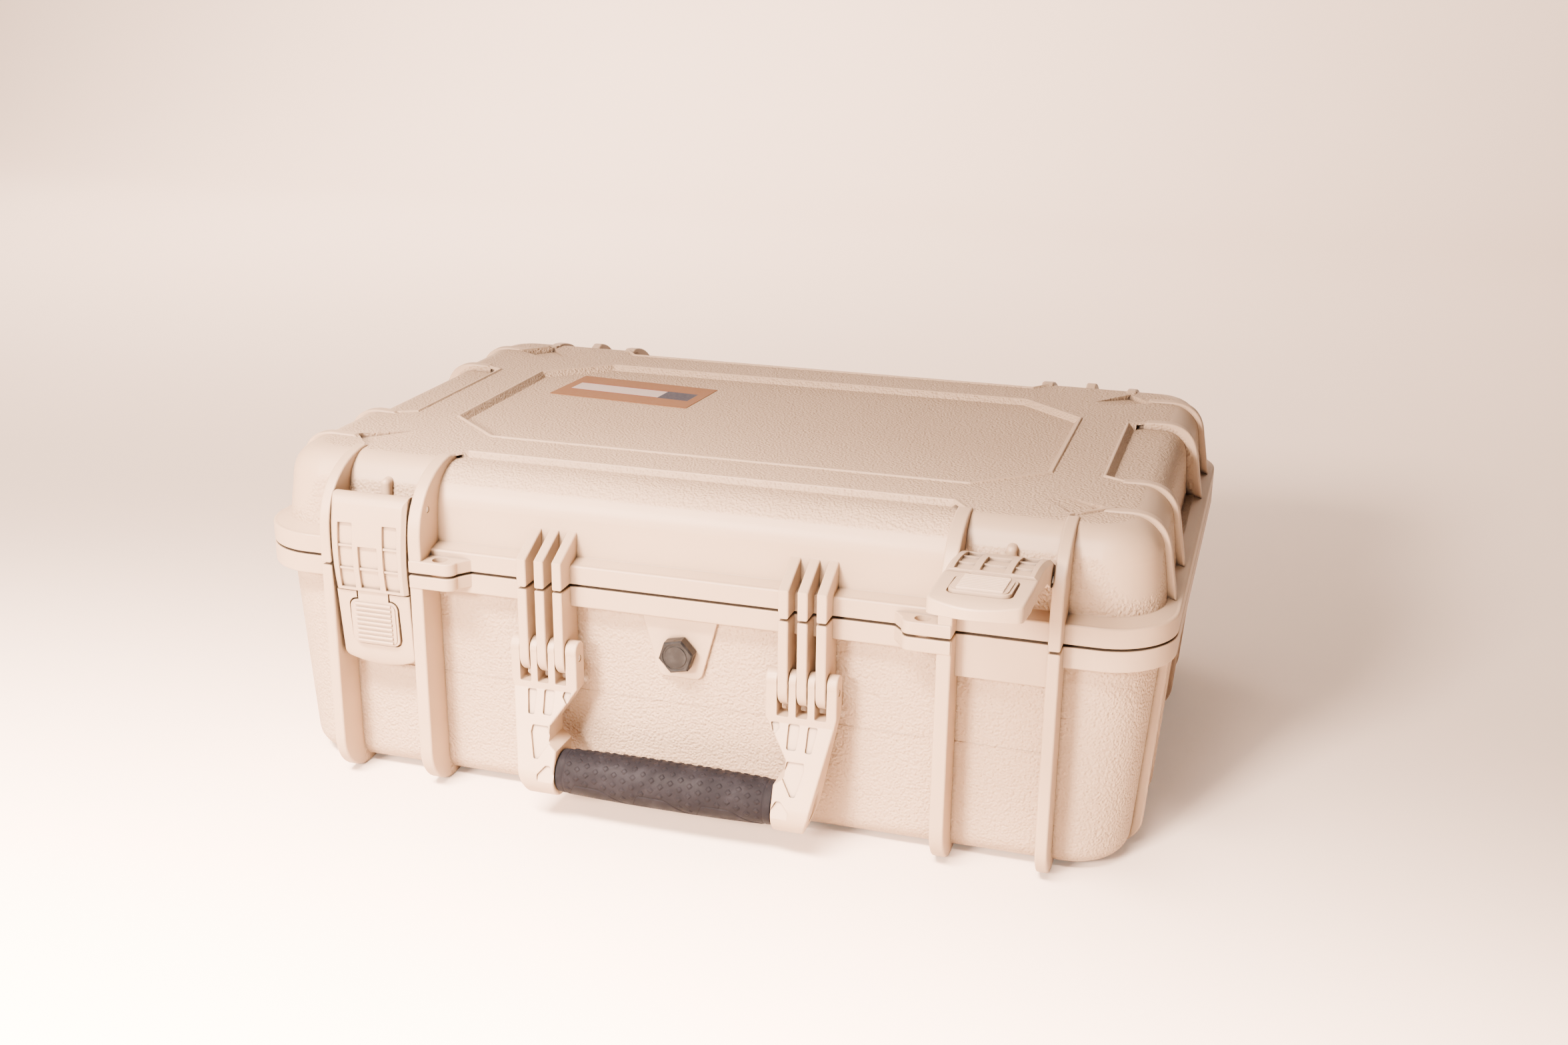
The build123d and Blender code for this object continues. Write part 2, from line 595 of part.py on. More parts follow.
def make_latch_body(side):
    """The latch's channel body: tube, cheeks, bridge and lower plate with a turned-back rim."""
    frame = latch_plane(side)
    with BuildPart() as hollow:
        with BuildSketch(frame.offset(-6)):
            with BuildLine():
                plate_outline(inset=2.6)
            make_face()
        extrude(amount=20)
        inner = side_slab(frame, LATCH_HALF, lambda: plate_side(drop=PLATE_WALL, back=-5, heel=-5))
        add(inner, mode=Mode.INTERSECT)
    with BuildPart() as body:
        with BuildSketch(frame.offset(-3)) as front_view:
            with BuildLine():
                plate_outline()
            make_face()
            fillet(front_view.vertices().sort_by(Axis.Y)[:2], 5)
        extrude(amount=18)
        add(side_slab(frame, LATCH_HALF + 1, plate_side), mode=Mode.INTERSECT)
        fronts = [f for f in body.faces() if f.normal_at().dot(frame.z_dir) > 0.3]
        outer = [e for f in fronts for e in f.edges() if abs(frame.to_local_coords(e.center()).X) > 1]
        fillet(outer, 1.4)
        add(hollow.part, mode=Mode.SUBTRACT)
        # window for the lever's neck and pad
        with BuildSketch(frame.offset(2)):
            with Locations((0, PAD_MID)):
                RectangleRounded(PAD_W + 2, PAD_H + 2.2, 5.5)
            with Locations((0, -54)):
                Rectangle(NECK_W + 2.2, 9)
        extrude(amount=12, mode=Mode.SUBTRACT)
        # cheeks between the plate and the tube
        for x in (-20.6, 20.6):
            with BuildSketch(across(frame, x)):
                Polygon((2, 5), (-12, 6.4), (-51.5, 4.2), (-60, 7.3), (-60, 0.3), (2, 0.3), align=None)
            extrude(amount=1.3, both=True)
        with BuildSketch(across(frame, 0)):
            Circle(CORE_R)
        extrude(amount=LATCH_HALF - 2.4, both=True)
        # bridge that joins the cheeks behind the lever
        with BuildSketch(across(frame, 0)):
            Polygon((-34, 2.3), (-44, 2.3), (-44, 0.3), (-34, 0.3), align=None)
        extrude(amount=21.5, both=True)
        # pin bores
        with BuildSketch(across(frame, 0)):
            Circle(LATCH_PIN_R + RUNNING_GAP)
            with Locations((LEVER_Y, LEVER_Z)):
                Circle(LEVER_PIN_R + HELD_GAP)
        extrude(amount=30, both=True, mode=Mode.SUBTRACT)
    return body.part


def grid_side():
    """Side view of the lever's grid plate and skirts below the rolled end."""
    ThreePointArc(*GRID_FACE)
    start, end = GRID_FACE[0], GRID_FACE[2]
    Polyline(end, (GRID_END, 2.4), (-20, 1.8), (-9, -2.4), (-2, -4), (0, BARREL_Z), start)


def above_grid(depth):
    """Side view of everything further out than the grid plate's face less depth."""
    start, middle, end = [(y, z - depth) for y, z in GRID_FACE]
    ThreePointArc(start, middle, end)
    Polyline(end, (GRID_END, 20), (start[0], 20), start)


def below_grid():
    """Side view of the hollow under the grid plate, open towards the case."""
    start, middle, end = [(y, z - GRID_WALL) for y, z in GRID_FACE]
    ThreePointArc(start, middle, end)
    top = BARREL_R - 1.7
    Polyline(end, (GRID_END - 2, end[1]), (GRID_END - 2, -9), (top, -9), (top, BARREL_Z), start)


def window_cutter(frame, windows, x, width, depth):
    """Cutter for a column of windows in the grid plate, its floor parallel to the bowed face."""
    with BuildPart() as cutter:
        with BuildSketch(frame.offset(4)):
            for y0, y1 in windows:
                with Locations((x, (y0 + y1) / 2)):
                    RectangleRounded(width, y1 - y0, 0.5)
        extrude(amount=14)
        add(side_slab(frame, LATCH_HALF, lambda: above_grid(depth)), mode=Mode.INTERSECT)
    return cutter.part


def pad_side(rise, thickness):
    """Side view of the neck and pad, their face raised by rise."""
    (y0, z0), (y1, z1) = PAD_FACE_TOP, PAD_FACE_END
    points = [
        (-50, z0 + rise),
        (y0, z0 + rise),
        (y1, z1 + rise),
        (y1, z1 - thickness),
        (y0, z0 - thickness - 0.6),
        (-50, z0 - thickness + 0.4),
    ]
    Polyline(*points, points[0])


def make_latch_lever(side):
    """The release lever: grid plate, side skirts, neck and ribbed thumb pad in one moulding."""
    frame = latch_plane(side)
    w = LATCH_HALF
    with BuildPart() as hollow:
        with BuildSketch(frame.offset(-12)):
            Polygon((2 - w, 9), (w - 2, 9), (w - 2.8, GRID_END - 2), (2.8 - w, GRID_END - 2), align=None)
        extrude(amount=30)
        add(side_slab(frame, w, below_grid), mode=Mode.INTERSECT)
    with BuildPart() as pad:
        with BuildSketch(frame.offset(4)):
            with Locations((0, PAD_MID)):
                RectangleRounded(PAD_W, PAD_H, 4.5)
            with Locations((0, -54.5)):
                Rectangle(NECK_W, 10)
        extrude(amount=12)
        add(side_slab(frame, w, lambda: pad_side(0, 3.4)), mode=Mode.INTERSECT)
    with BuildPart() as field:
        with BuildSketch(frame.offset(4)):
            with Locations((0, PAD_MID)):
                RectangleRounded(PAD_W - 3, PAD_H - 2.6, 3.6)
        extrude(amount=12)
        add(side_slab(frame, w, lambda: pad_side(0.6, 3)), mode=Mode.INTERSECT)
    with BuildPart() as lever:
        # side view, then narrowed a little towards the neck in the front view
        add(side_slab(frame, w, grid_side))
        with BuildSketch(across(frame, 0)):
            with Locations((0, BARREL_Z)):
                Circle(BARREL_R)
        extrude(amount=w, both=True)
        with BuildSketch(frame.offset(-8)):
            narrow = [(w, 9), (w, -10), (w - 0.9, GRID_END - 1)]
            Polygon(*narrow, *[(-x, y) for x, y in reversed(narrow)], align=None)
        extrude(amount=30, mode=Mode.INTERSECT)
        bevels = []
        for edge in lever.edges():
            at = frame.to_local_coords(edge.center())
            if abs(at.X) > w - 1 and at.Z > 10 and at.Y < 0 and edge.length > 40:
                bevels.append(edge)
        chamfer(bevels, 2.2)
        add(hollow.part, mode=Mode.SUBTRACT)
        # room for the latch pin while the lever rocks
        with BuildSketch(across(frame, 0)):
            SlotCenterToCenter(1.6, 2 * (LATCH_PIN_R + 0.9))
        extrude(amount=w + 1, both=True, mode=Mode.SUBTRACT)
        # windows, and the cross ribs between them a little lower than the lengthwise ones
        columns = [(-14.8, 9.6, SIDE_WINDOWS), (0, 12.8, MIDDLE_WINDOWS), (14.8, 9.6, SIDE_WINDOWS)]
        for x, column_w, windows in columns:
            whole = [(windows[-1][0], windows[0][1])]
            add(window_cutter(frame, windows, x, column_w, WINDOW_DEPTH), mode=Mode.SUBTRACT)
            add(window_cutter(frame, whole, x, column_w, CROSS_RIB_DROP), mode=Mode.SUBTRACT)
        add(pad.part)
        add(field.part)
        # thumb ridges
        for i in range(RIDGES):
            y = PAD_MID + (RIDGES - 1) * RIDGE_PITCH / 2 - i * RIDGE_PITCH
            z = PAD_FACE_TOP[1] + 0.7 + (PAD_FACE_TOP[0] - y) * PAD_SLOPE
            with BuildSketch(across(frame, 0)):
                with Locations((y, z)):
                    Circle(RIDGE_R)
            extrude(amount=11.8, both=True)
        # ears for the lever pin
        for x in (-15, 15):
            with BuildSketch(across(frame, x)):
                with Locations((LEVER_Y, LEVER_Z)):
                    Circle(3.2)
                with Locations((LEVER_Y, LEVER_Z + 3)):
                    Rectangle(6.4, 6)
            extrude(amount=1.5, both=True)
        with BuildSketch(across(frame, 0)):
            with Locations((LEVER_Y, LEVER_Z)):
                Circle(LEVER_PIN_R + RUNNING_GAP)
        extrude(amount=18, both=True, mode=Mode.SUBTRACT)
    return lever.part


def make_cross_pin(side, x, y, z, radius, half):
    """A pin across the latch, its middle at x."""
    frame = latch_plane(side)
    with BuildPart() as bar:
        with BuildSketch(across(frame, x)):
            with Locations((y, z)):
                Circle(radius)
        extrude(amount=half, both=True)
        chamfer(bar.edges().filter_by(GeomType.CIRCLE), 0.3)
    return bar.part


def make_spring(side):
    """A close-wound torsion spring round the lever pin, with one leg under the lever."""
    frame = latch_plane(side)
    wire, coils = 0.45, 6
    with BuildPart() as spring:
        with BuildSketch(across(frame, 0)):
            with Locations((LEVER_Y, LEVER_Z)):
                Circle(LEVER_PIN_R + 0.25 + 2 * wire)
                Circle(LEVER_PIN_R + 0.25, mode=Mode.SUBTRACT)
        extrude(amount=coils * wire, both=True)
        with BuildSketch(across(frame, coils * wire - wire)):
            with Locations((LEVER_Y - 6, LEVER_Z + 2.2)):
                Rectangle(12, 2 * wire)
        extrude(amount=wire, both=True)
    return spring.part


for side in SIDES:
    pieces = {
        "latch_body": make_latch_body(side),
        "latch_lever": make_latch_lever(side),
        "latch_pin": make_cross_pin(side, -0.8 * SIDES[side], 0, 0, LATCH_PIN_R, 33),
        "lever_pin": make_cross_pin(side, 0, LEVER_Y, LEVER_Z, LEVER_PIN_R, 21.8),
        "lever_spring": make_spring(side),
    }
    for name, piece in pieces.items():
        piece.label = f"{name}_{side}"
        export_step(piece, f"parts/{name}_{side}.step")

# ---- carry handle -------------------------------------------------------
ARM_FRONT, ARM_BACK = -194.5, -183.5  # front and back of the prongs
ARM_BEND = 80.0  # height where the arms start to lean out
ARM_LEAN = Vector(0, -18.0, -46.0)  # direction of the leaning front face, downwards
PRONG_TOP = 111.0


def arm_outline(s):
    """Front view of one arm: four prongs' width at the top, a neck, and the grip's end."""
    points = [
        (58, PRONG_TOP + 2),
        (100, PRONG_TOP + 2),
        (100, 86),
        (89, 30),
        (85, 18),
        (78, 12),
        (66.95, 12),
        (66.95, 46.5),
        (72.6, 51),
        (72.6, 60),
        (58, 82),
    ]
    Polygon(*[(s * x, z) for x, z in points], align=None)


def pocket_outlines():
    """Pockets in an arm's leaning face, as x and height above the floor, with their corner radii."""
    yield [(61.4, 80), (66.4, 80), (66.9, 77), (63.8, 72.5)], 0.8
    yield [(72.0, 80), (78.8, 80), (78.0, 66), (72.2, 66)], 1.4
    yield [(83.6, 79.5), (89.4, 79.5), (87.2, 65.5), (83.4, 65.5)], 1.0
    yield [(73.6, 60), (83.6, 60), (84.2, 56), (80.4, 41.5), (77.6, 41.5), (71.6, 51)], 0.9
    yield [(66.5, 25), (66.5, 33), (69.6, 38.5), (72.4, 38.5), (77.4, 33), (76.4, 25)], 1.3


with BuildPart() as handle_frame:
    with BuildSketch(Plane.XZ.offset(175)) as arms_front:
        for s in (-1, 1):
            arm_outline(s)
        fillet([v for v in arms_front.vertices() if v.Y < 31 and abs(v.X) > 70], 4)
    extrude(amount=45)
    with BuildSketch(Plane.YZ.offset(-110)):
        with BuildLine():
            slope = ARM_LEAN * (45.0 / 46.0)
            foot = (ARM_FRONT + slope.Y, ARM_BEND + slope.Z)
            Line((ARM_FRONT, PRONG_TOP - 8), (ARM_FRONT, ARM_BEND))
            Line((ARM_FRONT, ARM_BEND), foot)
            ThreePointArc(foot, (GRIP_Y, GRIP_Z - GRIP_R - 0.8), (ARM_BACK - 0.6, GRIP_Z))
            Line((ARM_BACK - 0.6, GRIP_Z), (ARM_BACK, PRONG_TOP - 3))
            crown = (ARM_BACK - 4.2, PRONG_TOP - 0.2)
            ThreePointArc((ARM_BACK, PRONG_TOP - 3), crown, (ARM_FRONT, PRONG_TOP - 8))
        make_face()
    extrude(amount=220, mode=Mode.INTERSECT)
    facing = handle_frame.faces().filter_by(lambda f: f.normal_at().Y < -0.3)
    fillet([e for f in facing for e in f.edges()], 1.0)
    # slots between the prongs
    for s in (-1, 1):
        for x in LUG_X:
            with BuildSketch(Plane.XZ.offset(170)) as slot:
                with Locations((s * x, PRONG_TOP - 8)):
                    Rectangle(LUG_T + 1, 38.4)
                fillet(slot.vertices(), 1.2)
            extrude(amount=40, mode=Mode.SUBTRACT)
    # pockets sunk into the leaning face
    leaning = Plane(
        origin=(0, ARM_FRONT, ARM_BEND),
        x_dir=(1, 0, 0),
        z_dir=(0, ARM_LEAN.Z, -ARM_LEAN.Y),
    )
    stretch = ARM_LEAN.length / abs(ARM_LEAN.Z)
    for s in (-1, 1):
        for points, corner in pocket_outlines():
            with BuildSketch(leaning.offset(-1.6)) as pocket:
                Polygon(*[(s * x, (z - ARM_BEND) * stretch) for x, z in points], align=None)
                fillet(pocket.vertices(), corner)
            extrude(amount=8, mode=Mode.SUBTRACT)
        # oval recess in the outer end of the grip's axis
        with BuildSketch(Plane.YZ.offset(s * 95)):
            with Locations(Location((GRIP_Y, GRIP_Z + 1), 0)):
                Ellipse(4.6, 10)
        extrude(amount=-s * 13, mode=Mode.SUBTRACT)
    # bar through the grip
    with BuildSketch(Plane.YZ.offset(-68)):
        with Locations((GRIP_Y, GRIP_Z)):
            Circle(7)
    extrude(amount=136)
    for s in (-1, 1):
        lo, hi = sorted((s * 50, s * 110))
        add(rod(lo, hi, HANDLE_Y, HANDLE_Z, HANDLE_PIN_R + RUNNING_GAP), mode=Mode.SUBTRACT)
handle_frame.part.label = "handle_frame"
export_step(handle_frame.part, "parts/handle_frame.step")

with BuildPart() as handle_grip:
    with BuildSketch(Plane.XY):
        with BuildLine():
            ThreePointArc((-GRIP_HALF, 13.4), (0, GRIP_R), (GRIP_HALF, 13.4))
            Polyline((GRIP_HALF, 13.4), (GRIP_HALF, 7.03), (-GRIP_HALF, 7.03), (-GRIP_HALF, 13.4))
        make_face()
    revolve(axis=Axis.X)
    fillet(handle_grip.edges().filter_by(GeomType.CIRCLE).sort_by(SortBy.RADIUS)[-2:], 1.0)
grip = Pos(0, GRIP_Y, GRIP_Z) * handle_grip.part
grip.label = "handle_grip"
export_step(grip, "parts/handle_grip.step")

for side, s in SIDES.items():
    lo, hi = sorted((s * 58.4, s * 99.6))
    handle_pin = pin(lo, hi, HANDLE_Y, HANDLE_Z, HANDLE_PIN_R)
    handle_pin.label = f"handle_pin_{side}"
    export_step(handle_pin, f"parts/handle_pin_{side}.step")

# ---- pressure valve -----------------------------------------------------
PAD_FACE = 176.3  # front of the valve pad
HEX_FLATS = 19.0

with BuildPart() as valve_body:
    with BuildSketch(Plane.XZ.offset(PAD_FACE + 0.9)):
        with Locations((0, VALVE_Z)):
            RegularPolygon(HEX_FLATS / 2, 6, major_radius=False, rotation=12)
    extrude(amount=7)
    chamfer(valve_body.faces().sort_by(Axis.Y)[0].edges(), 0.9)
    with BuildSketch(Plane.XZ.offset(PAD_FACE + 7.9)):
        with Locations((0, VALVE_Z)):
            Circle(8)
            Circle(6.6, mode=Mode.SUBTRACT)
    extrude(amount=-0.5, mode=Mode.SUBTRACT)
    with BuildSketch(Plane.XZ.offset(PAD_FACE + 0.9)):
        with Locations((0, VALVE_Z)):
            Circle(VALVE_HOLE_R - 0.1)
    extrude(amount=-15.5)
    with BuildSketch(Plane.XZ.offset(PAD_FACE - 15)):
        with Locations((0, VALVE_Z)):
            Circle(3)
    extrude(amount=17, mode=Mode.SUBTRACT)
valve_body.part.label = "valve_body"
export_step(valve_body.part, "parts/valve_body.step")

with BuildPart() as valve_seal:
    with BuildSketch(Plane.XZ.offset(PAD_FACE)):
        with Locations((0, VALVE_Z)):
            Circle(8.6)
            Circle(VALVE_HOLE_R + 0.1, mode=Mode.SUBTRACT)
    extrude(amount=0.9)
valve_seal.part.label = "valve_seal"
export_step(valve_seal.part, "parts/valve_seal.step")

with BuildPart() as valve_nut:
    with BuildSketch(Plane.XZ.offset(CAVITY_Y - 0.1)):
        with Locations((0, VALVE_Z)):
            RegularPolygon(8.5, 6, major_radius=False)
            Circle(VALVE_HOLE_R - 0.07, mode=Mode.SUBTRACT)
    extrude(amount=-5)
valve_nut.part.label = "valve_nut"
export_step(valve_nut.part, "parts/valve_nut.step")

with BuildPart() as valve_membrane:
    with BuildSketch(Plane.XZ.offset(PAD_FACE - 6)):
        with Locations((0, VALVE_Z)):
            Circle(2.97)
    extrude(amount=0.6)
valve_membrane.part.label = "valve_membrane"
export_step(valve_membrane.part, "parts/valve_membrane.step")
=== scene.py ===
"""The looks of the hard equipment case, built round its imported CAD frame.

Everything is in metres in the frame's own axes: X along the case, the front faces -Y, Z up.
The lid is closed, the left latch closed, the right latch open and the handle hanging.
"""

import math

import bmesh
import bpy
from mathutils import Matrix, Vector


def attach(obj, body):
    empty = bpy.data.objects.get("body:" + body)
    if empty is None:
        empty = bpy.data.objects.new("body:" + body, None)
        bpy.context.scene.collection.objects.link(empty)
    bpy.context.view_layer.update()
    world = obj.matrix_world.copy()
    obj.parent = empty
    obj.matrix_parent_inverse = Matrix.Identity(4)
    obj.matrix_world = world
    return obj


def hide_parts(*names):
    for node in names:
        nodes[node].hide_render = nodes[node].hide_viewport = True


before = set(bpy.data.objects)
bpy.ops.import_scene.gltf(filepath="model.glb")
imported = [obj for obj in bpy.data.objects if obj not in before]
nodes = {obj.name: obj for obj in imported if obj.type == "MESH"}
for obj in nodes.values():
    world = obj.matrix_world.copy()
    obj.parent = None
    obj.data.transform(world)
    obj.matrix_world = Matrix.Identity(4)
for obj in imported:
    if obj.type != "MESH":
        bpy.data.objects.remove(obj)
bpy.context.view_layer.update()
MM = 0.001


# ---- camera -------------------------------------------------------------
CAMERA_AT = (0.32379, -1.04568, 0.49961)
YAW, PITCH, ROLL = math.radians(16.73), math.radians(18.63), math.radians(0.66)

forward = Vector((-math.sin(YAW) * math.cos(PITCH), math.cos(YAW) * math.cos(PITCH), -math.sin(PITCH)))
level_right = Vector((math.cos(YAW), math.sin(YAW), 0))
level_up = level_right.cross(forward)
camera_x = level_right * math.cos(ROLL) + level_up * math.sin(ROLL)
camera_y = level_up * math.cos(ROLL) - level_right * math.sin(ROLL)

camera_data = bpy.data.cameras.new("camera")
camera_data.lens = 39.45
camera_data.sensor_width = 36
camera = bpy.data.objects.new("camera", camera_data)
axes = Matrix((camera_x, camera_y, -forward)).transposed().to_4x4()
camera.matrix_world = Matrix.Translation(CAMERA_AT) @ axes
bpy.context.scene.collection.objects.link(camera)
bpy.context.scene.camera = camera


# ---- mesh helper --------------------------------------------------------
def mesh_object(name, mesh, material, smooth=True):
    """An object in the scene from a bmesh, which is freed."""
    data = bpy.data.meshes.new(name)
    mesh.to_mesh(data)
    mesh.free()
    data.polygons.foreach_set("use_smooth", [smooth] * len(data.polygons))
    data.materials.append(material)
    made = bpy.data.objects.new(name, data)
    bpy.context.scene.collection.objects.link(made)
    return made


# ---- node helpers -------------------------------------------------------
class Nodes:
    """A short way to write a material's node tree."""

    def __init__(self, name):
        self.material = bpy.data.materials.new(name)
        self.material.use_nodes = True
        self.tree = self.material.node_tree
        self.shader = self.tree.nodes["Principled BSDF"]
        self.place = self.new("ShaderNodeTexCoord").outputs["Object"]

    def new(self, kind, **settings):
        node = self.tree.nodes.new(kind)
        for key, value in settings.items():
            setattr(node, key, value)
        return node

    def link(self, source, target):
        """Connects an output, or writes a plain value, to an input."""
        if isinstance(source, bpy.types.NodeSocket):
            self.tree.links.new(source, target)
        else:
            target.default_value = source

    def math(self, operation, *values):
        node = self.new("ShaderNodeMath", operation=operation)
        for value, socket in zip(values, node.inputs):
            self.link(value, socket)
        return node.outputs[0]

    def length(self, across, along):
        """The length of a vector from its two parts."""
        squares = self.math("ADD", self.math("POWER", across, 2.0), self.math("POWER", along, 2.0))
        return self.math("SQRT", squares)

    def noise(self, scale, detail=3.0, rough=0.5, where=None, distort=0.0):
        node = self.new("ShaderNodeTexNoise")
        self.link(where or self.place, node.inputs["Vector"])
        node.inputs["Scale"].default_value = scale
        node.inputs["Detail"].default_value = detail
        node.inputs["Roughness"].default_value = rough
        node.inputs["Distortion"].default_value = distort
        return node.outputs["Fac"]

    def cells(self, scale, feature="F1", where=None):
        """Distance from the nearest of many scattered points."""
        node = self.new("ShaderNodeTexVoronoi", feature=feature)
        self.link(where or self.place, node.inputs["Vector"])
        node.inputs["Scale"].default_value = scale
        return node.outputs["Distance"]

    def ramp(self, value, low, high, to_low=0.0, to_high=1.0):
        """value from low..high mapped smoothly to to_low..to_high."""
        node = self.new("ShaderNodeMapRange", interpolation_type="SMOOTHSTEP")
        for item, socket in zip((value, low, high, to_low, to_high), node.inputs):
            self.link(item, socket)
        return node.outputs[0]

    def mix(self, share, first, second):
        """A colour between two colours."""
        node = self.new("ShaderNodeMix", data_type="RGBA")
        self.link(share, node.inputs["Factor"])
        self.link(first, node.inputs["A"])
        self.link(second, node.inputs["B"])
        return node.outputs["Result"]

    def bump(self, height, distance, strength=1.0, normal=None):
        node = self.new("ShaderNodeBump")
        node.inputs["Distance"].default_value = distance
        self.link(strength, node.inputs["Strength"])
        self.link(height, node.inputs["Height"])
        if normal is not None:
            self.link(normal, node.inputs["Normal"])
        return node.outputs["Normal"]

    def soft_edges(self, radius):
        """The surface's normal with its edges rounded off."""
        node = self.new("ShaderNodeBevel", samples=6)
        node.inputs["Radius"].default_value = radius
        return node.outputs["Normal"]


    def occlusion_shade(self, reach, low=0.35, high=0.80):
        """Painted shade mask from ambient occlusion: 0 in the open, 1 deep in a gap or a corner of that
        reach.
        """
        node = self.new("ShaderNodeAmbientOcclusion", samples=8)
        node.inputs["Distance"].default_value = reach
        return self.ramp(node.outputs["AO"], low, high, 1.0, 0.0)


# ---- plastics -----------------------------------------------------------
TAN = (0.440, 0.322, 0.220, 1)
TAN_DEEP = (0.380, 0.272, 0.180, 1)  # slow patches
TAN_SCUFF = (0.540, 0.425, 0.315, 1)  # specks and rubbed places
TAN_SHADE = (0.240, 0.175, 0.115, 1)  # painted shade along inside corners
TAN_GAP_SHADE = (0.060, 0.046, 0.032, 1)  # painted shade in narrow gaps

WALL_CORNER = 34 * MM  # plan radius of the shells' corners
BASE_HALF = (261.3 * MM, 172.98 * MM)  # the base's outer walls at the floor
BASE_LEAN = (0.0738, 0.0062)  # how far they lean out per metre of height
BASE_GRAIN_TOP = 129 * MM  # the base's rim begins here
LID_HALF = (271.8 * MM, 171.9 * MM)  # the lid's outer walls at LID_WALL_Z
LID_WALL_Z = 155 * MM
LID_LEAN = -math.tan(math.radians(7.5))
LID_GRAIN_LOW = 158 * MM  # the lid's rim ends here
LID_TOP = 203.4 * MM
LID_TOP_ROUND = 20 * MM


def above_wall(n, half_x, half_y, lean_x, lean_y, top=None):
    """How far a point stands proud of a tapered rounded block's walls, in metres, and its height.

    half_x and half_y are the half sizes at z = 0, lean_x and lean_y their change per metre of height.
    """
    split = n.new("ShaderNodeSeparateXYZ")
    n.link(n.place, split.inputs[0])
    x, y, z = split.outputs

    def past_corner(value, half, lean):
        core = n.math("ADD", n.math("MULTIPLY", z, lean), half - WALL_CORNER)
        return n.math("MAXIMUM", n.math("SUBTRACT", n.math("ABSOLUTE", value), core), 0.0)

    px = past_corner(x, half_x, lean_x)
    py = past_corner(y, half_y, lean_y)
    plan = n.math("SUBTRACT", n.length(px, py), WALL_CORNER)
    if top is None:
        return plan, z
    over_side = n.math("MAXIMUM", n.math("ADD", plan, LID_TOP_ROUND), 0.0)
    over_top = n.math("MAXIMUM", n.math("SUBTRACT", z, top - LID_TOP_ROUND), 0.0)
    return n.math("SUBTRACT", n.length(over_side, over_top), LID_TOP_ROUND), z


def leather_height(n):
    """Height of a leather grain: uneven pebbles about 1.5 mm apart with a finer tooth on them."""
    jitter = n.new("ShaderNodeTexNoise")
    jitter.inputs["Scale"].default_value = 420
    n.link(n.place, jitter.inputs["Vector"])
    small = n.new("ShaderNodeVectorMath", operation="SCALE")
    small.inputs["Scale"].default_value = 0.9 * MM
    n.link(jitter.outputs["Color"], small.inputs[0])
    warped = n.new("ShaderNodeVectorMath", operation="ADD")
    n.link(n.place, warped.inputs[0])
    n.link(small.outputs[0], warped.inputs[1])
    pebbles = n.cells(640, "SMOOTH_F1", warped.outputs[0])
    fine = n.noise(1500, 2, 0.6)
    return n.math("ADD", n.math("MULTIPLY", pebbles, -1.0), n.math("MULTIPLY", fine, 0.35))


def moulded_plastic(name, grain_share=None):
    """Tan moulded resin with painted shade in its inside corners and narrow gaps. grain_share(n) gives
    where it has the fine leather grain, 0 to 1.
    """
    n = Nodes(name)
    patches = n.ramp(n.noise(7, 4, 0.55), 0.35, 0.7)
    colour = n.mix(n.math("MULTIPLY", patches, 0.35), TAN, TAN_DEEP)
    specks = n.ramp(n.noise(900, 2, 0.6), 0.70, 0.78)
    colour = n.mix(n.math("MULTIPLY", specks, 0.10), colour, TAN_SCUFF)
    scuffs = n.ramp(n.noise(26, 6, 0.75, distort=1.6), 0.62, 0.80)
    colour = n.mix(n.math("MULTIPLY", scuffs, 0.22), colour, TAN_SCUFF)
    # painted shade: the colour darkens towards inside corners, within 30 mm
    corners = n.math("MULTIPLY", n.occlusion_shade(30 * MM, 0.25, 0.75), 0.45)
    colour = n.mix(corners, colour, TAN_SHADE)
    # painted shade: near-black lines in narrow gaps, within 5 mm
    painted_gap_shade = n.math("MULTIPLY", n.occlusion_shade(5 * MM, 0.30, 0.75), 0.9)
    colour = n.mix(painted_gap_shade, colour, TAN_GAP_SHADE)
    n.link(colour, n.shader.inputs["Base Color"])
    edges = n.soft_edges(0.7 * MM)
    ripple = n.bump(n.noise(160, 3, 0.5), 0.05 * MM, 0.5, edges)
    if grain_share is None:
        rough = n.ramp(n.noise(60, 4), 0.3, 0.7, 0.40, 0.50)
        n.link(rough, n.shader.inputs["Roughness"])
        n.link(ripple, n.shader.inputs["Normal"])
        return n.material
    share = grain_share(n)
    strength = n.math("MULTIPLY", share, 0.95)
    n.link(n.bump(leather_height(n), 1.1 * MM, strength, ripple), n.shader.inputs["Normal"])
    rough = n.ramp(share, 0.0, 1.0, 0.44, 0.58)
    n.link(rough, n.shader.inputs["Roughness"])
    return n.material


def base_grain(n):
    """The base's walls carry the grain; its ribs, lugs, rim and valve pad are smooth."""
    proud, z = above_wall(n, *BASE_HALF, *BASE_LEAN)
    walls = n.ramp(proud, 0.45 * MM, 0.9 * MM, 1.0, 0.0)
    outside = n.ramp(proud, -4.0 * MM, -3.0 * MM)
    below_rim = n.ramp(z, BASE_GRAIN_TOP - 0.5 * MM, BASE_GRAIN_TOP + 0.5 * MM, 1.0, 0.0)
    return n.math("MULTIPLY", n.math("MULTIPLY", walls, outside), below_rim)


def lid_grain(n):
    """The lid's walls and top carry the grain; its ribs, fins, rim and beads are smooth."""
    at_floor = [half - LID_WALL_Z * LID_LEAN for half in LID_HALF]
    proud, z = above_wall(n, *at_floor, LID_LEAN, LID_LEAN, top=LID_TOP)
    walls = n.ramp(proud, 0.3 * MM, 0.7 * MM, 1.0, 0.0)
    outside = n.ramp(proud, -6.5 * MM, -5.5 * MM)
    above_rim = n.ramp(z, LID_GRAIN_LOW - 0.5 * MM, LID_GRAIN_LOW + 0.5 * MM)
    return n.math("MULTIPLY", n.math("MULTIPLY", walls, outside), above_rim)


